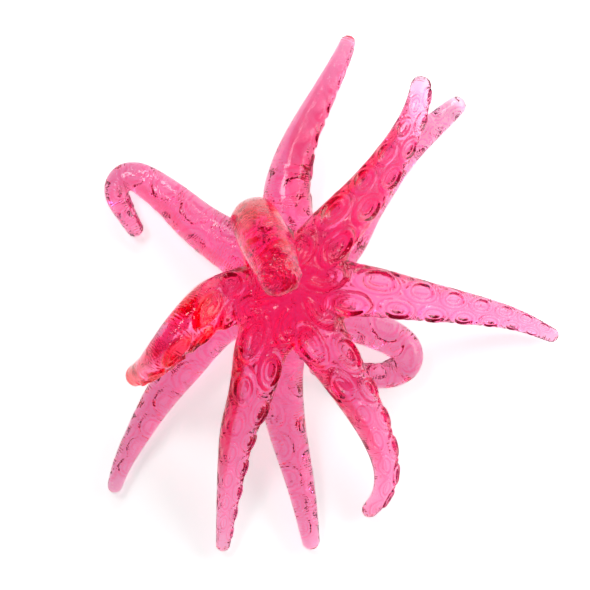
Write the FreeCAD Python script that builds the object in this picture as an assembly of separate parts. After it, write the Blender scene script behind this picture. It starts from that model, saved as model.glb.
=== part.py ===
"""A stretchy octopus toy of soft clear rubber: two six-armed stars, one bonded on the other.

Each star is a thick hub with six round tapered arms. The arms are soft and bend anywhere, so each
is cut into two links at the two places where it bends most: a base link next to the hub and a tip
link beyond it. A link starts with a ball, which turns in a round socket in the piece before it.

Frame: millimetres, +Z up, the floor at z = 0, the hub's axis through the origin.
"""
import FreeCAD, Part
import os

# --- driving dimensions -------------------------------------------------------------------------
AXIS_WIDTH = 18.9       # width that an arm's taper would reach at the hub's axis
TAPER = 0.175           # width lost for each millimetre along an arm
ROUND_RADIUS = 0.47     # radius of the round section that stands for a slightly flattened arm, over its width
ROOT_REACH = 20.0       # length of arm inside the hub, from the axis to the root ball
FLOOR_GAP = 0.5         # the lower arms' backs clear the floor by this
TIER_GAP = 1.0          # between the lower star's knuckles and the upper star's
SOCKET_GAP = 0.5        # running clearance of a ball in its socket
LIP_SETBACK = 0.45      # a socket's lip stops short of the ball's centre by this many ball radii
CORE_RADIUS = 9.4       # the hub's middle
STUB_INSET = 3.0        # the stubs start this far from the hub's centre, inside its middle
SECTION_SPACING = 4.0   # between the sections that an arm is lofted through
CUTTER_SIZE = 200.0     # side of the blocks that trim the hubs flat

UP = FreeCAD.Vector(0, 0, 1)


def width_radius(reach, slimness=1.0):
    """An arm's radius at a distance along it from the hub's axis."""
    return ROUND_RADIUS * slimness * (AXIS_WIDTH - TAPER * reach)


ROOT_RADIUS = width_radius(ROOT_REACH)
LOWER_HEIGHT = ROOT_RADIUS + FLOOR_GAP                      # lower star's middle plane
UPPER_HEIGHT = LOWER_HEIGHT + 2 * ROOT_RADIUS + TIER_GAP    # upper star's middle plane
BOND_HEIGHT = (LOWER_HEIGHT + UPPER_HEIGHT) / 2             # where the two stars are bonded

# --- how the arms lie ---------------------------------------------------------------------------
# Upper arms, anticlockwise from +X: points (x, y, drop below the upper star's middle plane) along
# the base link, from the root ball to the middle ball, and then along the tip link to its end.
UPPER_ARMS = {
    "upper_arm_1": (
        [(20, -1, 0), (33, -3, 3.5), (45, -5, 8.5)],
        [(57, -7.2, 13.2), (68, -10, 16.8), (78, -14.3, 19.4)],
    ),
    "upper_arm_2": (
        [(12.3, 15.8, 0), (20.3, 25, 2.8), (28.5, 35.8, 5.8)],
        [(34, 45, 8.2), (37.3, 53, 10), (38.6, 59.2, 11.2)],
    ),
    "upper_arm_3": (
        [(-7.6, 14.2, -3.5), (-9.3, 17.6, -9.5), (-9.8, 18.6, -16.5), (-8.6, 16.4, -24)],
        [(-6.4, 11.8, -31), (-4, 6.2, -37), (-1.8, 0.4, -42.5)],
    ),
    "upper_arm_4": (
        [(-19.2, -4, -3), (-25, -7.5, -9.5), (-30.5, -12.8, -13.5)],
        [(-35, -18, -12), (-39, -22, -5), (-42.6, -24.6, 2.5), (-44.8, -25.8, 7)],
    ),
    "upper_arm_5": (
        [(-8.4, -18.2, 0), (-10.7, -28, 2.6), (-12.8, -35, 5.2), (-15, -41.5, 8.8)],
        [(-17, -52, 13.2), (-18.6, -64, 17.2), (-20, -76.8, 20)],
    ),
    "upper_arm_6": (
        [(10.3, -17.2, 0), (17.4, -28.5, 4.8), (22.3, -37, 9.4)],
        [(27, -47.5, 13.4), (28.5, -56, 16.6), (26.6, -63, 18.6), (24, -66.4, 19.6)],
    ),
}
# Lower arms, anticlockwise from the first quadrant, lying on the floor: points (x, y) as above,
# and how slim the arm is.
LOWER_ARMS = {
    "lower_arm_1": (
        [(14.5, 13), (20.5, 22.5), (26.5, 31), (32.5, 38.5)],
        [(40.5, 46.2), (46.5, 51.3), (49.6, 54)],
        1.0,
    ),
    "lower_arm_2": (
        [(-0.8, 20), (-0.8, 29), (0.6, 36), (3, 43)],
        [(7.8, 53), (12.4, 62), (16, 69.6), (17.2, 72.5)],
        1.0,
    ),
    "lower_arm_3": (
        [(-16.4, 11.3), (-27, 18.6), (-35, 25.6)],
        [(-42, 30.9), (-46, 32.8), (-49.8, 32.3), (-51.7, 28.8), (-50.2, 24), (-46.4, 17.6)],
        1.0,
    ),
    "lower_arm_4": (
        [(-18.2, -8), (-25, -14.2), (-30, -21), (-34.5, -27)],
        [(-40.5, -35.5), (-46, -45), (-50.5, -54), (-52.3, -59.3)],
        1.0,
    ),
    "lower_arm_5": (
        [(-3.1, -19.8), (-2.7, -31), (-0.8, -42.5)],
        [(1.5, -52), (4.2, -64), (6.2, -75.8)],
        1.0,
    ),
    "lower_arm_6": (
        [(17.5, -9.6), (24.5, -12.5), (31, -15.6)],
        [(34.4, -18.4), (34.9, -22.2), (31.6, -25.4), (26, -26.5), (17, -25.8), (8.2, -24.2)],
        0.8,
    ),
}


def path_through(points):
    """A smooth curve through the points."""
    curve = Part.BSplineCurve()
    curve.interpolate(points)
    return curve


def hung(points):
    """Points of an upper arm, from their drops below the upper star's middle plane."""
    return [FreeCAD.Vector(x, y, UPPER_HEIGHT - drop) for x, y, drop in points]


def laid(points, slimness):
    """Points of a lower arm at the height at which it lies just clear of the floor."""
    placed = []
    reach = ROOT_REACH
    previous = None
    for x, y in points:
        if previous:
            reach += FreeCAD.Vector(x - previous[0], y - previous[1], 0).Length
        placed.append(FreeCAD.Vector(x, y, width_radius(reach, slimness) + FLOOR_GAP))
        previous = (x, y)
    return placed


def sections(curve, first, last, reach, slimness):
    """Round sections square to the curve between two of its parameters, for a loft."""
    length = curve.length(first, last)
    count = max(3, round(length / SECTION_SPACING))
    side = curve.tangent(first)[0].cross(UP)
    wires = []
    for number in range(count + 1):
        at = first + (last - first) * number / count
        ahead = curve.tangent(at)[0]
        side = side - ahead * side.dot(ahead)
        along = curve.length(first, at) if number else 0
        radius = width_radius(reach + along, slimness)
        ring = Part.Wire([Part.Circle(FreeCAD.Vector(), UP, radius).toShape()])
        turn = FreeCAD.Rotation(side, FreeCAD.Vector(), ahead, "ZXY")
        ring.Placement = FreeCAD.Placement(curve.value(at), turn)
        wires.append(ring)
    return wires


def half_ball(centre, radius, facing):
    return Part.makeSphere(radius, centre, facing, 0, 90, 360)


def link(curve, first, last, reach, slimness):
    """One stretch of an arm, with a ball at its inner end."""
    solid = Part.makeLoft(sections(curve, first, last, reach, slimness), True, False)
    ball = half_ball(curve.value(first), width_radius(reach, slimness), curve.tangent(first)[0] * -1)
    return solid.fuse(ball)


def arm(base_points, tip_points, slimness):
    """An arm's two links."""
    root = base_points[0]
    inside_hub = FreeCAD.Vector(root.x / 2, root.y / 2, root.z)
    curve = path_through([inside_hub] + base_points + tip_points)
    start = curve.parameter(root)
    middle = curve.parameter(base_points[-1])
    end = curve.LastParameter

    middle_reach = ROOT_REACH + curve.length(start, middle)
    middle_radius = width_radius(middle_reach, slimness)
    lip = curve.parameterAtDistance(-LIP_SETBACK * middle_radius, middle)
    base = link(curve, start, lip, ROOT_REACH, slimness)
    base = base.cut(Part.makeSphere(middle_radius + SOCKET_GAP, curve.value(middle)))

    tip = link(curve, middle, end, middle_reach, slimness)
    end_radius = width_radius(middle_reach + curve.length(middle, end), slimness)
    tip = tip.fuse(half_ball(curve.value(end), end_radius, curve.tangent(end)[0]))
    return base, tip


def stub(centre, root, root_radius):
    """The hub's share of an arm: a cone from the hub's middle to the lip of the root ball's socket."""
    run = root - centre
    length = run.Length - STUB_INSET - LIP_SETBACK * root_radius
    start = centre + run * (STUB_INSET / run.Length)
    return Part.makeCone(width_radius(STUB_INSET), root_radius, length, start, run)


def hub(height, roots, low, high):
    """A star's middle with its six stubs, trimmed flat at two heights, and a socket in each stub."""
    centre = FreeCAD.Vector(0, 0, height)
    solid = Part.makeSphere(CORE_RADIUS, centre)
    solid = solid.multiFuse([stub(centre, root, radius) for root, radius in roots])
    corner = FreeCAD.Vector(-CUTTER_SIZE / 2, -CUTTER_SIZE / 2, low)
    solid = solid.common(Part.makeBox(CUTTER_SIZE, CUTTER_SIZE, high - low, corner))
    for root, radius in roots:
        solid = solid.cut(Part.makeSphere(radius + SOCKET_GAP, root))
    return solid


def export(name, shape):
    solids = shape.Solids
    assert len(solids) == 1 and solids[0].isValid(), name
    solids[0].exportStep("parts/" + name + ".step")


def main():
    os.makedirs("parts", exist_ok=True)

    upper_roots = []
    for name, (base_points, tip_points) in UPPER_ARMS.items():
        base_points = hung(base_points)
        base, tip = arm(base_points, hung(tip_points), 1.0)
        upper_roots.append((base_points[0], ROOT_RADIUS))
        export(name + "_base", base)
        export(name + "_tip", tip)

    lower_roots = []
    for name, (base_points, tip_points, slimness) in LOWER_ARMS.items():
        points = laid(base_points + tip_points, slimness)
        split = len(base_points)
        base, tip = arm(points[:split], points[split:], slimness)
        lower_roots.append((points[0], width_radius(ROOT_REACH, slimness)))
        export(name + "_base", base)
        export(name + "_tip", tip)

    export("upper_hub", hub(UPPER_HEIGHT, upper_roots, BOND_HEIGHT, UPPER_HEIGHT + CUTTER_SIZE))
    export("lower_hub", hub(LOWER_HEIGHT, lower_roots, 0, BOND_HEIGHT))


main()
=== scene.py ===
"""Stretchy octopus toy of clear pink rubber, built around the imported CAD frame.

Each arm is one smooth surface, swept along the arm's middle line and raised into two rows of
suckers, then cut square across into three pieces so that it can bend at both of its joints. The
hub is the smooth union of the twelve arms' inner ends. The cut faces between pieces are inside
the rubber, so their material refracts nothing. Lengths in the tables are millimetres.
"""
import math

import bmesh
import bpy
import numpy as np
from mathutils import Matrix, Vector


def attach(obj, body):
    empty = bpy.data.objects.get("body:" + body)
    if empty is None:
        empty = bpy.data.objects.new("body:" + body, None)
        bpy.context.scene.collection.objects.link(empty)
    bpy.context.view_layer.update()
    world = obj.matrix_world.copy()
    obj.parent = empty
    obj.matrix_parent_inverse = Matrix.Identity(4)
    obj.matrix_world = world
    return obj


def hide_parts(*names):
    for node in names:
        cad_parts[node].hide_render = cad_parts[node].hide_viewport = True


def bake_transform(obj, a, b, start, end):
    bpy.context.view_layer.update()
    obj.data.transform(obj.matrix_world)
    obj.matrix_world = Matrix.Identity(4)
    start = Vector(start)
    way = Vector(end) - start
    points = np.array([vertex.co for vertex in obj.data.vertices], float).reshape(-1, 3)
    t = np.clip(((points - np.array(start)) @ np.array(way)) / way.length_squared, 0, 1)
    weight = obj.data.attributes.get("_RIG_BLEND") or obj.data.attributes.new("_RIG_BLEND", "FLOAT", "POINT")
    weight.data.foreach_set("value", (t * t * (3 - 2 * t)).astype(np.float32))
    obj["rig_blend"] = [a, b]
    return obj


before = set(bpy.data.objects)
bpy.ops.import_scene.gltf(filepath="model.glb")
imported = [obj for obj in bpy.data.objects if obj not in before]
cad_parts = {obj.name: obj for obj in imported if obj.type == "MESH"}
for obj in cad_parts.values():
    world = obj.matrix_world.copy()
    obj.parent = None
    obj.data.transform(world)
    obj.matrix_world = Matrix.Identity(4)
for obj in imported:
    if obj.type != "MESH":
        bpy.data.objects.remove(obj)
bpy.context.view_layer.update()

MM = 0.001

# --- the arm's shape ----------------------------------------------------------------------------
AXIS_WIDTH = 18.9          # width that the taper would reach at the hub's axis
TAPER = 0.175              # width lost for each millimetre along an arm
ROOT_REACH = 20.0          # distance along an arm from the hub's axis to its root joint
FACE_DEPTH = 0.40          # from the middle line to the sucker face, over the width
BACK_DEPTH = 0.47          # from the middle line to the back, over the width
FACE_POWER = 2.7           # the sucker face is flattened: a superellipse of this power
BACK_POWER = 2.1
ROUND_RADIUS = 0.47        # radius of the CAD links' round section, over the arm's width
FLOOR_GAP = 0.5            # the lower arms' round sections clear the floor by this
TIER_GAP = 1.0             # between the lower star's knuckles and the upper star's
FLATTENED = 0.03           # no point of an arm is lower than this
BLUNT_ENDS = {"upper_arm_3": 0.55}      # how much wider than the taper an arm's end is
SHORTER = {"upper_arm_3": 3.5}          # how far an arm's end stops short of its middle line's
CRUMPLED = {"upper_arm_3": 0.45}        # how high an arm's uneven end is raised

# --- suckers ------------------------------------------------------------------------------------
FIRST_SUCKER = 9.5         # distance of the first sucker from the hub's axis
PITCH_START = 8.2          # step to the next sucker, in the other row, at the hub's axis
PITCH_FALL = 0.068         # how much the step shrinks for each millimetre
SUCKER_LENGTH = 0.86       # half a sucker's length, over the step
SUCKER_WIDTH = 0.220       # half a sucker's width, over the arm's width
ROW_OFFSET = 0.235         # distance of a row from the middle, over the arm's width
SUCKER_HEIGHT = 0.17       # a rim's height, over half the sucker's length
LAST_SUCKER_MARGIN = 1.5   # no sucker's middle is nearer the arm's end than this
LOWER_BOLDNESS = 0.55      # height of the lower arms' suckers, over the upper arms'
FLANK_GROOVE = 0.16        # depth of the groove along each edge of the sucker face

# Painted shade: the colour that darkens the suckers' creased rings and slits, on arms and hub.
CREASE_SHADE_TINT = np.array([0.96, 0.36, 0.60])
RED_TINT = np.array([1.0, 0.02, 0.04])
THIN_TINT = np.array([1.0, 0.68, 0.80])     # deepens the thin outer parts
THIN_TINT_DEPTH = {"lower_arm_1": 0.0, "upper_arm_2": 0.3}     # the other arms take all of it
# Painted shade along one flank.
FLANK_SHADE_TINT = np.array([0.90, 0.05, 0.15])
# How strong the painted shade along one flank is, with the sign of the side that it is on.
SHADED_FLANKS = {
    "upper_arm_2": -1.0,
    "upper_arm_5": 1.0,
    "upper_arm_6": 0.8,
    "lower_arm_2": -0.5,
    "lower_arm_3": 0.5,
}
RED_SUCKERS = ("upper_arm_4",)
RED_ENDS = {"upper_arm_4": -5.0, "lower_arm_1": 1.6, "lower_arm_2": 0.6}   # start past the end's centre
RED_FADE = 1.8             # distance over which an arm's end turns red

# --- where the arms are cut ---------------------------------------------------------------------
HUB_CUT = 20.4             # hub to root piece
ROOT_CUT = 33.0            # root piece to middle piece
BEND_HALF = 6.0            # the rubber bends over this much each side of the middle joint
END_CUT_GAP = 1.5          # the cut past the bend, to the end piece
ROOT_BEND = (0.3, 9.0)     # the root piece bends from here to here past the hub's cut
CUT_GAP = 0.004            # between two cut faces

RING_STEP = 0.32
FACE_POINTS = 56
BACK_POINTS = 28
DOME_RINGS = 10
DOME_TURN = 86             # degrees of a quarter turn that the rounded end's rings cover
OUTLINE_SAMPLES = 4000
HUB_CELL = 0.34


def width_at(reach, slimness=1.0):
    return slimness * (AXIS_WIDTH - TAPER * reach)


ROOT_RADIUS = ROUND_RADIUS * width_at(ROOT_REACH)
LOWER_HEIGHT = ROOT_RADIUS + FLOOR_GAP                      # lower star's middle plane
UPPER_HEIGHT = LOWER_HEIGHT + 2 * ROOT_RADIUS + TIER_GAP    # upper star's middle plane

# The middle lines, from the root joint through the middle joint to the end: for upper arms x, y
# and the drop below the upper star's middle plane; for lower arms x, y. Then the number of points
# up to the middle joint, the slimness, and how far the sucker face is turned from straight up at
# the root, at the middle joint and at the end, in degrees.
UPPER_ARMS = {
    "upper_arm_1": (
        [(20, -1, 0), (33, -3, 3.5), (45, -5, 8.5), (57, -7.2, 13.2), (68, -10, 16.8), (78, -14.3, 19.4)],
        3, 1.0, (4, 14, 10),
    ),
    "upper_arm_2": (
        [(12.3, 15.8, 0), (20.3, 25, 2.8), (28.5, 35.8, 5.8), (34, 45, 8.2), (37.3, 53, 10),
         (38.6, 59.2, 11.2)],
        3, 1.0, (0, 6, 20),
    ),
    "upper_arm_3": (
        [(-7.6, 14.2, -3.5), (-9.3, 17.6, -9.5), (-9.8, 18.6, -16.5), (-8.6, 16.4, -24), (-6.4, 11.8, -31),
         (-4, 6.2, -37), (-1.8, 0.4, -42.5)],
        4, 1.0, (0, 0, 0),
    ),
    "upper_arm_4": (
        [(-19.2, -4, -3), (-25, -7.5, -9.5), (-30.5, -12.8, -13.5), (-35, -18, -12), (-39, -22, -5),
         (-42.6, -24.6, 2.5), (-44.8, -25.8, 7)],
        3, 1.0, (0, -40, -75),
    ),
    "upper_arm_5": (
        [(-8.4, -18.2, 0), (-10.7, -28, 2.6), (-12.8, -35, 5.2), (-15, -41.5, 8.8), (-17, -52, 13.2),
         (-18.6, -64, 17.2), (-20, -76.8, 20)],
        4, 1.0, (-6, -24, -30),
    ),
    "upper_arm_6": (
        [(10.3, -17.2, 0), (17.4, -28.5, 4.8), (22.3, -37, 9.4), (27, -47.5, 13.4), (28.5, -56, 16.6),
         (26.6, -63, 18.6), (24, -66.4, 19.6)],
        3, 1.0, (-6, -22, -34),
    ),
}
LOWER_ARMS = {
    "lower_arm_1": (
        [(14.5, 13), (20.5, 22.5), (26.5, 31), (32.5, 38.5), (40.5, 46.2), (46.5, 51.3), (49.6, 54)],
        4, 1.0, (180, 180, 180),
    ),
    "lower_arm_2": (
        [(-0.8, 20), (-0.8, 29), (0.6, 36), (3, 43), (7.8, 53), (12.4, 62), (16, 69.6), (17.2, 72.5)],
        4, 1.0, (170, 110, 95),
    ),
    "lower_arm_3": (
        [(-16.4, 11.3), (-27, 18.6), (-35, 25.6), (-42, 30.9), (-46, 32.8), (-49.8, 32.3), (-51.7, 28.8),
         (-50.2, 24), (-46.4, 17.6)],
        3, 1.0, (180, 195, 215),
    ),
    "lower_arm_4": (
        [(-18.2, -8), (-25, -14.2), (-30, -21), (-34.5, -27), (-40.5, -35.5), (-46, -45), (-50.5, -54),
         (-52.3, -59.3)],
        4, 1.0, (180, 165, 160),
    ),
    "lower_arm_5": (
        [(-3.1, -19.8), (-2.7, -31), (-0.8, -42.5), (1.5, -52), (4.2, -64), (6.2, -75.8)],
        3, 1.0, (180, 185, 190),
    ),
    "lower_arm_6": (
        [(17.5, -9.6), (24.5, -12.5), (31, -15.6), (34.4, -18.4), (34.9, -22.2), (31.6, -25.4),
         (26, -26.5), (17, -25.8), (8.2, -24.2)],
        3, 0.8, (180, 160, 150),
    ),
}


# --- middle lines -------------------------------------------------------------------------------
def spline(points, samples_per_span=24):
    """A natural cubic spline through the points, sampled."""
    points = np.asarray(points, float)
    knots = np.concatenate([[0], np.cumsum(np.linalg.norm(np.diff(points, axis=0), axis=1))])
    n = len(points)
    h = np.diff(knots)
    system = np.eye(n)
    right = np.zeros_like(points)
    for i in range(1, n - 1):
        system[i, i - 1:i + 2] = h[i - 1], 2 * (h[i - 1] + h[i]), h[i]
        right[i] = 6 * ((points[i + 1] - points[i]) / h[i] - (points[i] - points[i - 1]) / h[i - 1])
    bend = np.linalg.solve(system, right)
    out = []
    for i in range(n - 1):
        t = np.linspace(0, h[i], samples_per_span, endpoint=False)[:, None]
        back = h[i] - t
        out.append(
            (bend[i] * back ** 3 + bend[i + 1] * t ** 3) / (6 * h[i])
            + (points[i] / h[i] - bend[i] * h[i] / 6) * back
            + (points[i + 1] / h[i] - bend[i + 1] * h[i] / 6) * t
        )
    return np.vstack(out + [points[-1:]])


def unit(v):
    return v / np.linalg.norm(v, axis=-1, keepdims=True)


class Arm:
    """One arm's middle line by distance from the hub's axis (its reach), with a turning frame."""

    def __init__(self, name, points, joint_at, slimness, turns, centre_height):
        self.name = name
        self.boldness = 1.0 if name.startswith("upper") else LOWER_BOLDNESS
        self.slimness = slimness
        root = points[0]
        inside = np.array([root[0] / 2, root[1] / 2, root[2]])
        line = spline([inside] + points)
        centre = np.array([0.0, 0.0, centre_height])
        inner = centre + (inside - centre) * np.linspace(0, 1, 10, endpoint=False)[:, None]
        self.line = np.vstack([inner, line])
        lengths = np.concatenate([[0], np.cumsum(np.linalg.norm(np.diff(self.line, axis=0), axis=1))])
        root_index = len(inner) + int(np.argmin(np.linalg.norm(line - root, axis=1)))
        self.reach = lengths - lengths[root_index] + ROOT_REACH
        joint_index = len(inner) + int(np.argmin(np.linalg.norm(line - points[joint_at - 1], axis=1)))
        self.joint_reach = self.reach[joint_index]
        self.end_reach = self.reach[-1] - SHORTER.get(name, 0)
        self.ahead = unit(np.gradient(self.line, self.reach, axis=0))
        self.side = self.carried_side(turns)
        self.face = unit(np.cross(self.side, self.ahead))

    def carried_side(self, turns):
        """The frame's side vector, carried along without twist and then turned."""
        side = unit(np.cross(self.ahead[0], [0, 0, 1]))
        stops = [0, ROOT_REACH, self.joint_reach, self.end_reach]
        turned = []
        for ahead, reach in zip(self.ahead, self.reach):
            side = unit(side - ahead * (side @ ahead))
            up = np.cross(side, ahead)
            angle = math.radians(np.interp(reach, stops, [turns[0]] + list(turns)))
            turned.append(side * math.cos(angle) - up * math.sin(angle))
        return np.array(turned)

    def at(self, reach, track):
        """A track (line, ahead, side or face) at some reaches, run on straight past the end."""
        reach = np.atleast_1d(reach)
        values = np.stack([np.interp(reach, self.reach, track[:, k]) for k in range(3)], axis=-1)
        if track is self.line:
            past = np.maximum(reach - self.reach[-1], 0)[:, None]
            return values + past * self.ahead[-1]
        return unit(values)

    def width(self, reach):
        reach = np.minimum(reach, self.end_reach)
        swell = 1 + BLUNT_ENDS.get(self.name, 0) * smooth_step(reach, ROOT_REACH + 4, self.end_reach)
        return width_at(reach, self.slimness) * swell

    def suckers(self):
        """Each sucker's reach, its row (-1 or 1), half its length and half its width."""
        found = []
        reach = FIRST_SUCKER
        row = -1
        while reach < self.end_reach - LAST_SUCKER_MARGIN:
            step = PITCH_START - PITCH_FALL * reach
            found.append((reach, row, SUCKER_LENGTH * step, SUCKER_WIDTH * self.width(reach)))
            reach += step
            row = -row
        return found


def smooth_step(x, low, high):
    t = np.clip((x - low) / (high - low), 0, 1)
    return t * t * (3 - 2 * t)


def ridge(x, middle, half):
    return np.exp(-((x - middle) / half) ** 2)


def sucker_relief(along, across, length, width):
    """One sucker: a rounded oval rim round a dish, and in it a lidded eye with a slit.

    Gives its height, how much painted shade a point takes for lying in a creased ring or slit, and whether
    the point is on the sucker at all.
    """
    rho = np.hypot(along / length, across / width)
    rim = ridge(rho, 0.86, 0.15) - 0.30 * ridge(rho, 1.16, 0.12) + 0.12 * ridge(rho, 1.38, 0.10)
    dish = -0.45 * smooth_step(rho, 0.80, 0.55)
    lid = np.hypot(along / (0.60 * length), across / (0.52 * width))
    eye = 0.75 * ridge(lid, 0.92, 0.24)
    bow = across / width - 0.10 * (1 - (along / (0.5 * length)) ** 2)
    slit = ridge(bow, 0, 0.12) * smooth_step(np.abs(along) / length, 0.5, 0.34)
    # The creased rings, lid edge and slit, where painted shade goes.
    rings = 0.35 * ridge(rho, 1.38, 0.08) + ridge(rho, 1.10, 0.09) + 0.8 * ridge(rho, 0.66, 0.08)
    crease = rings + 0.6 * ridge(lid, 1.22, 0.12) + slit
    return rim + dish + eye - 0.35 * slit, crease, smooth_step(rho, 1.20, 0.95)


def relief(arm, reach, across, height):
    """The height over the plain section, how much painted shade a point takes for being creased, and how far
    on a sucker (0 to 1).
    """
    out = np.zeros_like(reach)
    crease = np.zeros_like(reach)
    on_sucker = np.zeros_like(reach)
    half = arm.width(reach) / 2
    facing = smooth_step(height, 0.0, 0.25)
    for middle, row, length, width in arm.suckers():
        offset = row * ROW_OFFSET * arm.width(middle)
        near = np.abs(reach - middle) < 1.5 * length
        if near.any():
            bump, dark, disc = sucker_relief(reach[near] - middle, across[near] - offset, length, width)
            out[near] += arm.boldness * SUCKER_HEIGHT * length * bump * facing[near]
            crease[near] = np.maximum(crease[near], dark * facing[near])
            on_sucker[near] = np.maximum(on_sucker[near], disc * facing[near])
    groove = ridge(np.abs(across) / half, 0.90, 0.045) * facing
    if arm.name in CRUMPLED:
        amount = CRUMPLED[arm.name] * smooth_step(reach, arm.end_reach - 2, arm.end_reach + 2)
        out += amount * crumple(across, height, reach)
    return out - FLANK_GROOVE * groove, np.clip(crease, 0, 1), on_sucker


def crumple(x, y, z):
    """An uneven surface: between -1.5 and 1.5."""
    return (
        np.sin(2.9 * x + 4.0 * y) * np.sin(2.3 * z + 1.1 * x)
        + 0.5 * np.sin(5.1 * z - 3.7 * x) * np.sin(9.0 * y + 2.2 * x)
    )


def tint_at(arm, reach, across, crease, on_sucker):
    """The surface's tint: painted shade that deepens creased places and one flank, red at some ends and
    suckers.
    """
    # Painted shade in the creased places.
    tint = 1 - crease[..., None] * (1 - CREASE_SHADE_TINT)
    depth = THIN_TINT_DEPTH.get(arm.name, 1.0) * smooth_step(reach, 15, 65)
    tint = tint * (1 - depth[..., None] * (1 - THIN_TINT))
    # Painted shade: a deeper band along one flank of some arms.
    flank_shade = SHADED_FLANKS.get(arm.name, 0)
    if flank_shade:
        side = np.sign(flank_shade) * across / (arm.width(reach) / 2)
        amount = abs(flank_shade) * smooth_step(side, 0.50, 0.66) * smooth_step(reach, 75, 45)
        tint = tint * (1 - amount[..., None] * (1 - FLANK_SHADE_TINT))
    red = np.zeros_like(reach)
    if arm.name in RED_ENDS:
        start = arm.end_reach + RED_ENDS[arm.name]
        red = smooth_step(reach, start, start + RED_FADE)
    if arm.name in RED_SUCKERS:
        red = np.maximum(red, on_sucker * smooth_step(reach, 20, 32))
    return tint * (1 - red[..., None]) + RED_TINT * red[..., None]


# --- swept arms ---------------------------------------------------------------------------------
def section_outline():
    """Points round a section of unit half width: across, height over the depth, evenly spaced."""
    fine = np.linspace(0, 2 * math.pi, OUTLINE_SAMPLES + 1)
    power = np.where(np.sin(fine) >= 0, FACE_POWER, BACK_POWER)
    across = np.sign(np.cos(fine)) * np.abs(np.cos(fine)) ** (2 / power)
    height = np.sign(np.sin(fine)) * np.abs(np.sin(fine)) ** (2 / power)
    depth = np.where(height >= 0, 2 * FACE_DEPTH, 2 * BACK_DEPTH)
    steps = np.hypot(np.diff(across), np.diff(height * depth))
    length = np.concatenate([[0], np.cumsum(steps)])
    half_way = length[OUTLINE_SAMPLES // 2]
    stops = np.concatenate([
        np.linspace(0, half_way, FACE_POINTS, endpoint=False),
        np.linspace(half_way, length[-1], BACK_POINTS, endpoint=False),
    ])
    return np.interp(stops, length, across), np.interp(stops, length, height)


ACROSS, HEIGHT = section_outline()


def arm_reaches(arm):
    """Reaches of the rings, with a ring on each cut, and how much each is shrunk towards the tip."""
    end_radius = arm.width(arm.end_reach) / 2
    cuts = [HUB_CUT, ROOT_CUT, arm.joint_reach + BEND_HALF + END_CUT_GAP, arm.end_reach]
    reaches = []
    for start, stop in zip(cuts, cuts[1:]):
        count = max(2, round((stop - start) / RING_STEP))
        reaches.append(np.linspace(start, stop, count, endpoint=False))
    turn = np.linspace(0, math.radians(DOME_TURN), DOME_RINGS)
    reaches.append(arm.end_reach + end_radius * np.sin(turn))
    shrink = np.concatenate([np.ones(sum(map(len, reaches[:3]))), np.cos(turn)])
    starts = np.cumsum([0] + [len(r) for r in reaches[:3]])
    return np.concatenate(reaches), shrink, starts[:3]


def grid_normals(grid):
    along = np.gradient(grid, axis=0)
    around = np.roll(grid, -1, axis=1) - np.roll(grid, 1, axis=1)
    return unit(np.cross(along, around))


def arm_grid(arm):
    reaches, shrink, starts = arm_reaches(arm)
    half = (arm.width(reaches) / 2 * shrink)[:, None]
    depth = np.where(HEIGHT >= 0, 2 * FACE_DEPTH, 2 * BACK_DEPTH)
    across = ACROSS[None] * half
    height = (HEIGHT * depth)[None] * half
    line, side, face = (arm.at(reaches, track)[:, None] for track in (arm.line, arm.side, arm.face))
    grid = line + side * across[..., None] + face * height[..., None]
    normals = grid_normals(grid)
    reach_grid = np.broadcast_to(reaches[:, None], across.shape)
    level = np.broadcast_to(HEIGHT[None], across.shape)
    raised, crease, on_sucker = (
        values.reshape(across.shape)
        for values in relief(arm, reach_grid.ravel(), across.ravel(), level.ravel())
    )
    raised = raised * shrink[:, None] ** 2
    tint = tint_at(arm, reach_grid, across, crease, on_sucker)
    grid = grid + normals * raised[..., None]
    grid[..., 2] = np.maximum(grid[..., 2], FLATTENED)
    return grid, grid_normals(grid), tint, reaches, starts


def mark_rims(mesh, joint_faces):
    """Make the edges round the cut faces sharp, so that neither side bends the other's normals."""
    sides = [set(), set()]
    for polygon in mesh.polygons:
        sides[joint_faces[polygon.index] > 0.5].update(polygon.edge_keys)
    rims = sides[0] & sides[1]
    for edge in mesh.edges:
        if edge.key in rims:
            edge.use_edge_sharp = True


def piece_from(name, points, faces, joint_faces, normals, tints, reaches, material):
    """A mesh piece from points in millimetres, with its cut faces marked and its normals set."""
    mesh = bpy.data.meshes.new(name)
    mesh.from_pydata((points * MM).tolist(), [], faces)
    mark = mesh.attributes.new("joint_face", "FLOAT", "FACE")
    mark.data.foreach_set("value", np.asarray(joint_faces, np.float32))
    reach = mesh.attributes.new("reach", "FLOAT", "POINT")
    reach.data.foreach_set("value", np.asarray(reaches, np.float32))
    tint = mesh.attributes.new("tint", "FLOAT_COLOR", "POINT")
    tint.data.foreach_set("color", np.hstack([tints, np.ones((len(tints), 1))]).ravel().astype(np.float32))
    mesh.polygons.foreach_set("use_smooth", np.ones(len(faces), bool))
    mesh.update()
    mark_rims(mesh, joint_faces)
    count = np.empty(len(faces), int)
    mesh.polygons.foreach_get("loop_total", count)
    vertex = np.empty(len(mesh.loops), int)
    mesh.loops.foreach_get("vertex_index", vertex)
    flat = np.empty(len(faces) * 3)
    mesh.polygons.foreach_get("normal", flat)
    on_cut = np.repeat(np.asarray(joint_faces) > 0.5, count)
    loop_normals = np.where(on_cut[:, None], np.repeat(flat.reshape(-1, 3), count, axis=0), normals[vertex])
    mesh.normals_split_custom_set(loop_normals.tolist())
    mesh.materials.append(material)
    piece = bpy.data.objects.new(name, mesh)
    bpy.context.scene.collection.objects.link(piece)
    return piece


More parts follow.
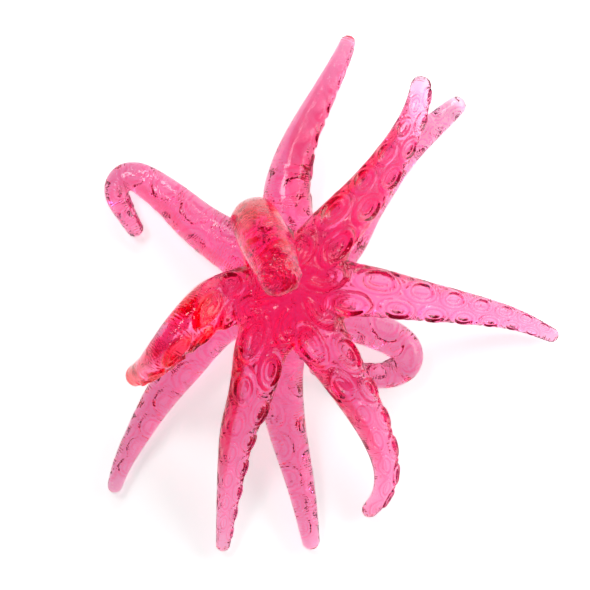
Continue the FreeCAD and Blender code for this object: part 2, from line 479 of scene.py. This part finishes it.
def arm_pieces(arm, material):
    """The arm's root, middle and end pieces, each closed, and its first ring with its normals."""
    grid, normals, tint, reaches, starts = arm_grid(arm)
    around = grid.shape[1]
    bounds = list(starts) + [len(reaches) - 1]
    pieces = []
    for part, (first, last) in enumerate(zip(bounds, bounds[1:])):
        rows = np.arange(first, last + 1)
        points = grid[rows].copy()
        ahead = arm.at(reaches[[first, last]], arm.ahead)
        points[0] += ahead[0] * CUT_GAP / 2
        is_tip = last == bounds[-1]
        if not is_tip:
            points[-1] -= ahead[1] * CUT_GAP / 2
        faces = []
        for row in range(len(rows) - 1):
            here = row * around
            there = here + around
            for k in range(around):
                n = (k + 1) % around
                faces.append((here + k, there + k, there + n, here + n))
        joint_faces = [0.0] * len(faces)
        flat_points = points.reshape(-1, 3)
        inner = len(flat_points)
        outer = inner + 1
        far = (len(rows) - 1) * around
        faces += [(inner, k, (k + 1) % around) for k in range(around)]
        faces += [(outer, far + (k + 1) % around, far + k) for k in range(around)]
        joint_faces += [1.0] * around + [0.0 if is_tip else 1.0] * around
        centres = np.stack([points[0].mean(0), points[-1].mean(0)])
        if is_tip:
            centres[1] = arm.at(reaches[last], arm.line)[0] + ahead[1] * 0.01
        all_points = np.vstack([flat_points, centres])
        all_normals = np.vstack([normals[rows].reshape(-1, 3), -ahead[:1], ahead[1:]])
        all_reaches = np.concatenate([np.repeat(reaches[rows], around), reaches[[first, last]]])
        all_tints = np.vstack([tint[rows].reshape(-1, 3), tint[first, :1], tint[last, :1]])
        name = arm.name.replace("_arm_", "_tentacle_") + ("_root", "_middle", "_end")[part]
        pieces.append(
            piece_from(name, all_points, faces, joint_faces, all_normals, all_tints, all_reaches, material)
        )
    return pieces, grid[0], normals[0]


# --- hub ----------------------------------------------------------------------------------------
STAR_BLEND = 3.0           # radius over which neighbouring arms of a star run together
BOND_BLEND = 1.6           # the same between the two stars
HUB_LIMIT = 27.0           # half the side of the block that holds the hub
HUB_FLOOR = -1.0           # the block's lowest and highest levels
HUB_TOP = 42.0
HUB_RADIUS = HUB_CUT + 10  # the hub's field is worked out only within this of its axis
FAR_OUTSIDE = 9.0          # field value where none is worked out
BLOCK_POINTS = 400000      # how many points are worked out at a time
LINE_REACH = HUB_CUT + 6   # the middle lines that the hub follows end here
LINE_STRIDE = 4            # and it follows every fourth of their points
HUB_OVERRUN = 2.5          # the hub is made this much longer than the cut, then cut off
FLAT_UNDERSIDE = 0.15      # height of the flat underside, before its suckers are raised
UNDERSIDE_BLEND = 0.8      # radius of the flat underside's edge
CUT_DEPTH = 9.0            # a cut takes its own arm's faces from this far short of it outwards
CUT_RADIUS = 12.0          # a cut face's rim is within this of its centre
ON_PLANE = 1e-3            # how near a cut's plane a point of its rim is
NO_OWNER = -1              # marks the middle point of a cut face
GATHER_CENTRE = (-1.0, 1.5)


def smooth_min(a, b, blend):
    t = np.clip(0.5 + 0.5 * (b - a) / blend, 0, 1)
    return b * (1 - t) + a * t - blend * t * (1 - t)


def arm_field(arm, points):
    """Signed height of points over an arm's plain section, with their reach, across and height."""
    keep = (arm.reach >= -0.01) & (arm.reach < LINE_REACH)
    index = np.flatnonzero(keep)[::LINE_STRIDE]
    nodes = arm.line[index]
    best = np.full(len(points), np.inf)
    where = np.zeros(len(points))
    for i in range(len(nodes) - 1):
        run = nodes[i + 1] - nodes[i]
        t = np.clip((points - nodes[i]) @ run / (run @ run), 0, 1)
        gap = points - nodes[i] - t[:, None] * run
        far = np.einsum("ij,ij->i", gap, gap)
        closer = far < best
        best[closer] = far[closer]
        span = arm.reach[index[i]] + t * (arm.reach[index[i + 1]] - arm.reach[index[i]])
        where[closer] = span[closer]
    offset = points - arm.at(where, arm.line)
    across = np.einsum("ij,ij->i", offset, arm.at(where, arm.side))
    height = np.einsum("ij,ij->i", offset, arm.at(where, arm.face))
    past = np.einsum("ij,ij->i", offset, arm.at(where, arm.ahead))
    half = arm.width(where) / 2
    is_face = height >= 0
    depth = half * np.where(is_face, 2 * FACE_DEPTH, 2 * BACK_DEPTH)
    power = np.where(is_face, FACE_POWER, BACK_POWER)
    ratio = (np.abs(across / half) ** power + np.abs(height / depth) ** power) ** (1 / power)
    field = (np.hypot(ratio, past / half) - 1) * np.minimum(half, depth)
    field = np.maximum(field, where - HUB_CUT - HUB_OVERRUN)
    return field, where, across, height / depth


def star_field(arms, points):
    fields = [arm_field(arm, points) for arm in arms]
    total = fields[0][0]
    for field, *_ in fields[1:]:
        total = smooth_min(total, field, STAR_BLEND)
    return total, fields


def hub_field(upper, lower, points):
    top, top_fields = star_field(upper, points)
    bottom, bottom_fields = star_field(lower, points)
    bottom = -smooth_min(-bottom, points[:, 2] - FLAT_UNDERSIDE, UNDERSIDE_BLEND)
    return smooth_min(top, bottom, BOND_BLEND), top_fields + bottom_fields


def surface_net(values, origin, cell):
    """Vertices and quads of the zero surface of a grid of values (naive surface nets)."""
    inside = values < 0
    nx, ny, nz = values.shape
    total = np.zeros((nx - 1, ny - 1, nz - 1, 3))
    count = np.zeros((nx - 1, ny - 1, nz - 1))
    crossings = []
    for axis in range(3):
        lead = [slice(None)] * 3
        follow = [slice(None)] * 3
        lead[axis] = slice(0, -1)
        follow[axis] = slice(1, None)
        a, b = values[tuple(lead)], values[tuple(follow)]
        cross = inside[tuple(lead)] != inside[tuple(follow)]
        at = np.argwhere(cross)
        part = a[cross] / (a[cross] - b[cross])
        point = at.astype(float)
        point[:, axis] += part
        others = [k for k in range(3) if k != axis]
        for da in (0, -1):
            for db in (0, -1):
                target = at.copy()
                target[:, others[0]] += da
                target[:, others[1]] += db
                np.add.at(total, tuple(target.T), point)
                np.add.at(count, tuple(target.T), 1)
        crossings.append((axis, others, at, inside[tuple(lead)][cross]))
    filled = count > 0
    number = np.full(count.shape, -1)
    number[filled] = np.arange(filled.sum())
    vertices = origin + cell * total[filled] / count[filled][:, None]
    quads = []
    for axis, others, at, starts_inside in crossings:
        corner = []
        for da, db in ((-1, -1), (0, -1), (0, 0), (-1, 0)):
            target = at.copy()
            target[:, others[0]] += da
            target[:, others[1]] += db
            corner.append(number[tuple(target.T)])
        quad = np.stack(corner, axis=1)
        flip = starts_inside if axis != 1 else ~starts_inside
        quad[~flip] = quad[~flip][:, ::-1]
        quads.append(quad)
    return vertices, np.vstack(quads)


def trilinear(values, gradient, points, origin, cell):
    """A grid's value and gradient at points."""
    place = (points - origin) / cell
    low = np.clip(np.floor(place).astype(int), 0, np.array(values.shape) - 2)
    part = place - low
    value = 0
    slope = 0
    for corner in np.ndindex(2, 2, 2):
        weight = np.prod(np.where(corner, part, 1 - part), axis=1)
        at = tuple((low + corner).T)
        value = value + weight * values[at]
        slope = slope + weight[:, None] * gradient[at]
    return value, slope


def hub_mesh(upper, lower):
    """The hub's surface before it is cut: points, quads, and each point's normal."""
    origin = np.array([-HUB_LIMIT, -HUB_LIMIT, HUB_FLOOR])
    top = np.array([HUB_LIMIT, HUB_LIMIT, HUB_TOP])
    axes = [np.arange(origin[k], top[k] + HUB_CELL, HUB_CELL) for k in range(3)]
    shape = [len(a) for a in axes]
    points = np.stack(np.meshgrid(*axes, indexing="ij"), axis=-1).reshape(-1, 3)
    values = np.full(len(points), FAR_OUTSIDE)
    middle_radius = np.hypot(points[:, 0], points[:, 1])
    for start in range(0, len(points), BLOCK_POINTS):
        block = slice(start, start + BLOCK_POINTS)
        near = middle_radius[block] < HUB_RADIUS
        chosen = np.flatnonzero(near) + start
        values[chosen] = hub_field(upper, lower, points[chosen])[0]
    values = values.reshape(shape)
    gradient = np.stack(np.gradient(values, HUB_CELL), axis=-1)
    vertices, quads = surface_net(values, origin, HUB_CELL)
    for _ in range(3):
        value, slope = trilinear(values, gradient, vertices, origin, HUB_CELL)
        vertices = vertices - slope * (value / np.maximum((slope ** 2).sum(1), 0.05))[:, None]
    _, slope = trilinear(values, gradient, vertices, origin, HUB_CELL)
    return vertices, quads, unit(slope)


def gather(points):
    """The puckered mark in the middle of the upper face."""
    x = points[:, 0] - GATHER_CENTRE[0]
    y = points[:, 1] - GATHER_CENTRE[1]
    radius = np.hypot(x, y)
    angle = np.arctan2(y, x)
    fold = np.sin(7 * angle + 1.3 * radius) + 0.6 * np.sin(12 * angle - 2.1 * radius)
    amount = smooth_step(radius, 5.5, 1.5) * smooth_step(points[:, 2], 26, 29)
    return amount * (0.35 * fold - 0.9 * ridge(radius, 0, 1.2))


def raised_hub(arms, fields, vertices):
    """How far each point of the hub is raised, and how much painted shade it takes where it is creased.

    Each point takes its relief from the arm whose lane it is in, the one whose middle line it is
    nearest to sideways. The relief fades out where two lanes meet, and a groove runs between them.
    """
    aside = np.stack([np.abs(f[2]) + 10 * np.maximum(f[0] - 1.5, 0) + 10 * (f[1] < 1) for f in fields])
    lane = np.argmin(aside, axis=0)
    ranked = np.sort(aside, axis=0)
    lead = smooth_step(ranked[1] - ranked[0], 0.0, 1.8)
    raised = gather(vertices)
    crease = np.zeros(len(vertices))
    for number, (arm, (_, reach, across, level)) in enumerate(zip(arms, fields)):
        mine = (reach > 3) & (lane == number)
        fade = smooth_step(reach[mine], 3, 7) * lead[mine]
        bump, dark, _ = relief(arm, reach[mine], across[mine], level[mine])
        raised[mine] += fade * bump
        raised[mine] -= 0.6 * (1 - lead[mine]) * smooth_step(reach[mine], 4, 9)
        crease[mine] = np.maximum(crease[mine], fade * dark)
    return raised, crease


def hub_bmesh(vertices, quads, fields, crease):
    """The hub's surface as a bmesh, whose points know their arm, their reach and how much painted shade
    their creased places take.
    """
    bm = bmesh.new()
    reach_layer = bm.verts.layers.float.new("reach")
    own_layer = bm.verts.layers.int.new("owner")
    crease_shade_layer = bm.verts.layers.float.new("crease")
    made = [bm.verts.new(v) for v in vertices]
    owner = np.argmin(np.stack([f[0] for f in fields]), axis=0)
    own_reach = np.choose(owner, [f[1] for f in fields])
    for vertex, reach, number, dark in zip(made, own_reach, owner, crease):
        vertex[reach_layer] = reach
        vertex[crease_shade_layer] = dark
        vertex[own_layer] = int(number)
    for quad in quads:
        bm.faces.new([made[i] for i in quad])
    bm.normal_update()
    return bm


def is_on_rim(points, place, ahead):
    """Whether a point, or each of many, is on a cut's rim."""
    gap = np.array(points) - place
    return (np.abs(gap @ ahead) < ON_PLANE) & (np.linalg.norm(gap, axis=-1) < CUT_RADIUS)


def cut_hub(bm, arms):
    """Cut the hub off square across each arm and close it. Gives each cut's centre and direction."""
    reach_layer = bm.verts.layers.float["reach"]
    own_layer = bm.verts.layers.int["owner"]
    cut_planes = []
    for number, arm in enumerate(arms):
        ahead = arm.at(HUB_CUT, arm.ahead)[0]
        place = arm.at(HUB_CUT, arm.line)[0] - ahead * CUT_GAP / 2
        near = [
            f for f in bm.faces
            if all(v[own_layer] == number and v[reach_layer] > HUB_CUT - CUT_DEPTH for v in f.verts)
        ]
        geometry = {*near, *(e for f in near for e in f.edges), *(v for f in near for v in f.verts)}
        bmesh.ops.bisect_plane(
            bm, geom=list(geometry), dist=1e-5, plane_co=place, plane_no=ahead, clear_outer=True
        )
        cut_planes.append((place, ahead))
    for place, ahead in cut_planes:
        rim = [
            e for e in bm.edges
            if len(e.link_faces) == 1 and all(is_on_rim(v.co, place, ahead) for v in e.verts)
        ]
        if not rim:
            continue
        centre = bm.verts.new(place)
        centre[reach_layer] = HUB_CUT
        centre[own_layer] = NO_OWNER
        for edge in rim:
            bm.faces.new([edge.verts[0], edge.verts[1], centre])
    bmesh.ops.recalc_face_normals(bm, faces=bm.faces)
    bm.verts.ensure_lookup_table()
    bm.verts.index_update()
    return cut_planes


def outer_normals(bm, points, joint_faces, cut_planes, rims):
    """Each point's normal from the faces that aren't cuts, and on a rim the arm's own normal."""
    normals = np.zeros_like(points)
    for face, cut in zip(bm.faces, joint_faces):
        if not cut:
            weight = np.array(face.normal) * face.calc_area()
            for v in face.verts:
                normals[v.index] += weight
    normals[np.linalg.norm(normals, axis=1) == 0] = (0, 0, 1)
    normals = unit(normals)
    for (place, ahead), (ring, ring_normals) in zip(cut_planes, rims):
        for i in np.flatnonzero(is_on_rim(points, place, ahead)):
            normals[i] = ring_normals[np.argmin(((ring - points[i]) ** 2).sum(1))]
    return normals


def hub_piece(upper, lower, rims, material):
    """The hub of both stars, closed, with a cut face towards each arm's root piece."""
    arms = upper + lower
    vertices, quads, normals = hub_mesh(upper, lower)
    _, fields = hub_field(upper, lower, vertices)
    raised, crease = raised_hub(arms, fields, vertices)
    bm = hub_bmesh(vertices + normals * raised[:, None], quads, fields, crease)
    cut_planes = cut_hub(bm, arms)
    reach_layer = bm.verts.layers.float["reach"]
    own_layer = bm.verts.layers.int["owner"]
    crease_shade_layer = bm.verts.layers.float["crease"]
    points = np.array([v.co for v in bm.verts])
    owners = [v[own_layer] for v in bm.verts]
    reaches = [v[reach_layer] for v in bm.verts]
    crease_shades = np.array([v[crease_shade_layer] for v in bm.verts])
    faces = [[v.index for v in f.verts] for f in bm.faces]
    joint_faces = [float(any(owners[i] == NO_OWNER for i in f)) for f in faces]
    point_normals = outer_normals(bm, points, joint_faces, cut_planes, rims)
    bm.free()
    # The hub's colour: painted shade where it is creased.
    tints = 1 - crease_shades[:, None] * (1 - CREASE_SHADE_TINT)
    piece = piece_from("hub_star", points, faces, joint_faces, point_normals, tints, reaches, material)
    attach(piece, "hub")
    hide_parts("upper_hub", "lower_hub")


# --- materials ----------------------------------------------------------------------------------
RUBBER_IOR = 1.43
RIDGE_SPACING = 0.8        # millimetres of reach
RIDGE_HEIGHT = 0.16        # over the bump's height
RIPPLE_SCALE = 260.0
RIPPLE_DEPTH = 0.0005      # metres
ROUGHNESS = (0.01, 0.07)   # lowest and highest, in patches
DEPTH_COLOUR = (0.982, 0.036, 0.53, 1)      # what the rubber's depth lets pass
DEPTH_DENSITY = 120.0
GLOW = 0.66                # the light table's own light
GLOW_RADIUS = 0.17         # metres; it fades out over the next GLOW_FADE
GLOW_FADE = 0.06
WORLD_LIGHT = 0.42


def new_material(name):
    material = bpy.data.materials.new(name)
    material.use_nodes = True
    return material, material.node_tree, material.node_tree.nodes["Principled BSDF"]


def ridged_height(tree, ripple):
    """Ripples, with fine ridges across the arms in patches, as a mould leaves them."""
    nodes, links = tree.nodes, tree.links

    def math_node(operation, first, second):
        node = nodes.new("ShaderNodeMath")
        node.operation = operation
        for socket, value in zip(node.inputs, (first, second)):
            if isinstance(value, float):
                socket.default_value = value
            else:
                links.new(value, socket)
        return node.outputs["Value"]

    reach = nodes.new("ShaderNodeAttribute")
    reach.attribute_name = "reach"
    wave = math_node("SINE", math_node("MULTIPLY", reach.outputs["Fac"], 2 * math.pi / RIDGE_SPACING), 0.0)
    patch = nodes.new("ShaderNodeMapRange")
    patch.inputs["From Min"].default_value = 0.50
    patch.inputs["From Max"].default_value = 0.62
    patch.inputs["To Max"].default_value = RIDGE_HEIGHT
    links.new(ripple.outputs["Fac"], patch.inputs["Value"])
    return math_node("ADD", ripple.outputs["Fac"], math_node("MULTIPLY", wave, patch.outputs["Result"]))


def gel_rubber():
    """Clear rubber, tinted all through: paler where it is thin, deeper where it is thick."""
    material, tree, shader = new_material("gel_rubber")
    nodes, links = tree.nodes, tree.links
    shader.inputs["Transmission Weight"].default_value = 1.0
    shader.inputs["IOR"].default_value = RUBBER_IOR
    shader.inputs["Specular IOR Level"].default_value = 0.55
    # The base colour is the tint attribute, which holds painted shade in creased places and along some
    # flanks.
    surface = nodes.new("ShaderNodeAttribute")
    surface.attribute_name = "tint"
    untinted = nodes.new("ShaderNodeMix")
    untinted.data_type = "RGBA"

    cut = nodes.new("ShaderNodeAttribute")
    cut.attribute_name = "joint_face"
    index = nodes.new("ShaderNodeMapRange")
    index.inputs["To Min"].default_value = RUBBER_IOR
    index.inputs["To Max"].default_value = 1.0
    links.new(cut.outputs["Fac"], index.inputs["Value"])
    links.new(index.outputs["Result"], shader.inputs["IOR"])
    colour_in = [socket for socket in untinted.inputs if socket.type == "RGBA"]
    colour_out = [socket for socket in untinted.outputs if socket.type == "RGBA"]
    colour_in[1].default_value = (1, 1, 1, 1)
    links.new(cut.outputs["Fac"], untinted.inputs["Factor"])
    links.new(surface.outputs["Color"], colour_in[0])
    links.new(colour_out[0], shader.inputs["Base Color"])

    place = nodes.new("ShaderNodeTexCoord")
    ripple = nodes.new("ShaderNodeTexNoise")
    ripple.inputs["Scale"].default_value = RIPPLE_SCALE
    ripple.inputs["Detail"].default_value = 3.0
    links.new(place.outputs["Object"], ripple.inputs["Vector"])
    rough = nodes.new("ShaderNodeMapRange")
    rough.inputs["From Min"].default_value = 0.35
    rough.inputs["From Max"].default_value = 0.75
    rough.inputs["To Min"].default_value = ROUGHNESS[0]
    rough.inputs["To Max"].default_value = ROUGHNESS[1]
    links.new(ripple.outputs["Fac"], rough.inputs["Value"])
    links.new(rough.outputs["Result"], shader.inputs["Roughness"])

    flat = nodes.new("ShaderNodeMath")
    flat.operation = "SUBTRACT"
    flat.inputs[0].default_value = 1.0
    links.new(cut.outputs["Fac"], flat.inputs[1])
    bump = nodes.new("ShaderNodeBump")
    bump.inputs["Distance"].default_value = RIPPLE_DEPTH
    links.new(flat.outputs["Value"], bump.inputs["Strength"])
    links.new(ridged_height(tree, ripple), bump.inputs["Height"])
    links.new(bump.outputs["Normal"], shader.inputs["Normal"])

    tint = nodes.new("ShaderNodeVolumeAbsorption")
    tint.inputs["Color"].default_value = DEPTH_COLOUR
    tint.inputs["Density"].default_value = DEPTH_DENSITY
    links.new(tint.outputs["Volume"], nodes["Material Output"].inputs["Volume"])
    return material


def stage_material():
    """A matt white light table that glows round the toy."""
    material, tree, shader = new_material("white_light_table")
    nodes, links = tree.nodes, tree.links
    shader.inputs["Base Color"].default_value = (0.9, 0.9, 0.9, 1)
    shader.inputs["Roughness"].default_value = 0.85
    shader.inputs["Emission Color"].default_value = (1, 1, 1, 1)
    place = nodes.new("ShaderNodeTexCoord")
    distance = nodes.new("ShaderNodeVectorMath")
    distance.operation = "LENGTH"
    glow = nodes.new("ShaderNodeMapRange")
    glow.interpolation_type = "SMOOTHSTEP"
    glow.inputs["From Min"].default_value = GLOW_RADIUS
    glow.inputs["From Max"].default_value = GLOW_RADIUS + GLOW_FADE
    glow.inputs["To Min"].default_value = GLOW
    glow.inputs["To Max"].default_value = 0.0
    links.new(place.outputs["Object"], distance.inputs[0])
    links.new(distance.outputs["Value"], glow.inputs["Value"])
    links.new(glow.outputs["Result"], shader.inputs["Emission Strength"])
    return material


# --- the object ---------------------------------------------------------------------------------
def make_arms():
    upper = []
    for name, (points, joint_at, slimness, turns) in UPPER_ARMS.items():
        line = [np.array([x, y, UPPER_HEIGHT - drop]) for x, y, drop in points]
        upper.append(Arm(name, line, joint_at, slimness, turns, UPPER_HEIGHT))
    lower = []
    for name, (points, joint_at, slimness, turns) in LOWER_ARMS.items():
        line = []
        reach = ROOT_REACH
        for number, (x, y) in enumerate(points):
            if number:
                reach += math.dist(points[number - 1], (x, y))
            line.append(np.array([x, y, ROUND_RADIUS * width_at(reach, slimness) + FLOOR_GAP]))
        lower.append(Arm(name, line, joint_at, slimness, turns, LOWER_HEIGHT))
    return upper, lower


def build_toy():
    rubber = gel_rubber()
    upper, lower = make_arms()
    rims = []
    for arm in upper + lower:
        (root, middle, end), ring, ring_normals = arm_pieces(arm, rubber)
        rims.append((ring, ring_normals))
        base, tip = arm.name + "_base", arm.name + "_tip"
        root_bend = [HUB_CUT + step for step in ROOT_BEND]
        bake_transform(root, "hub", base, *(MM * arm.at(r, arm.line)[0] for r in root_bend))
        bend = (arm.joint_reach - BEND_HALF, arm.joint_reach + BEND_HALF)
        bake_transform(middle, base, tip, *(MM * arm.at(r, arm.line)[0] for r in bend))
        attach(end, tip)
        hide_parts(base)
        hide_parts(tip)
    hub_piece(upper, lower, rims, rubber)


# --- stage, light and camera --------------------------------------------------------------------
FRAME_WIDTH = 177.0 * MM
FRAME_CENTRE = (1.5 * MM, -2.4 * MM)
CAMERA_HEIGHT = 0.7
FLOOR_HALF = 3.0


def floor():
    half = FLOOR_HALF
    corners = [(-half, -half, 0), (half, -half, 0), (half, half, 0), (-half, half, 0)]
    mesh = bpy.data.meshes.new("floor")
    mesh.from_pydata(corners, [], [(0, 1, 2, 3)])
    mesh.materials.append(stage_material())
    plane = bpy.data.objects.new("floor", mesh)
    bpy.context.scene.collection.objects.link(plane)


def soft_light(name, place, size, power):
    light = bpy.data.lights.new(name, "AREA")
    light.shape = "RECTANGLE"
    light.size, light.size_y = size
    light.energy = power
    lamp = bpy.data.objects.new(name, light)
    lamp.location = place
    lamp.rotation_euler = (-Vector(place)).to_track_quat("-Z", "Y").to_euler()
    bpy.context.scene.collection.objects.link(lamp)


def lights():
    world = bpy.data.worlds.new("studio")
    bpy.context.scene.world = world
    world.use_nodes = True
    nodes = world.node_tree.nodes
    nodes["Background"].inputs["Strength"].default_value = WORLD_LIGHT
    soft_light("right_panel", (0.38, 0.20, 0.17), (0.5, 0.30), 2.4)
    soft_light("top_strip", (0.05, 0.60, 0.42), (0.6, 0.10), 2.0)
    soft_light("glint", (-0.30, 0.30, 0.55), (0.2, 0.2), 1.3)


def camera():
    data = bpy.data.cameras.new("camera")
    data.angle = 2 * math.atan(FRAME_WIDTH / 2 / CAMERA_HEIGHT)
    view = bpy.data.objects.new("camera", data)
    view.location = (*FRAME_CENTRE, CAMERA_HEIGHT)
    bpy.context.scene.collection.objects.link(view)
    bpy.context.scene.camera = view


def light_paths():
    scene = bpy.context.scene
    scene.view_settings.view_transform = "Standard"
    scene.cycles.max_bounces = 24
    scene.cycles.transmission_bounces = 24
    scene.cycles.glossy_bounces = 8
    scene.cycles.transparent_max_bounces = 16


build_toy()
floor()
lights()
camera()
light_paths()
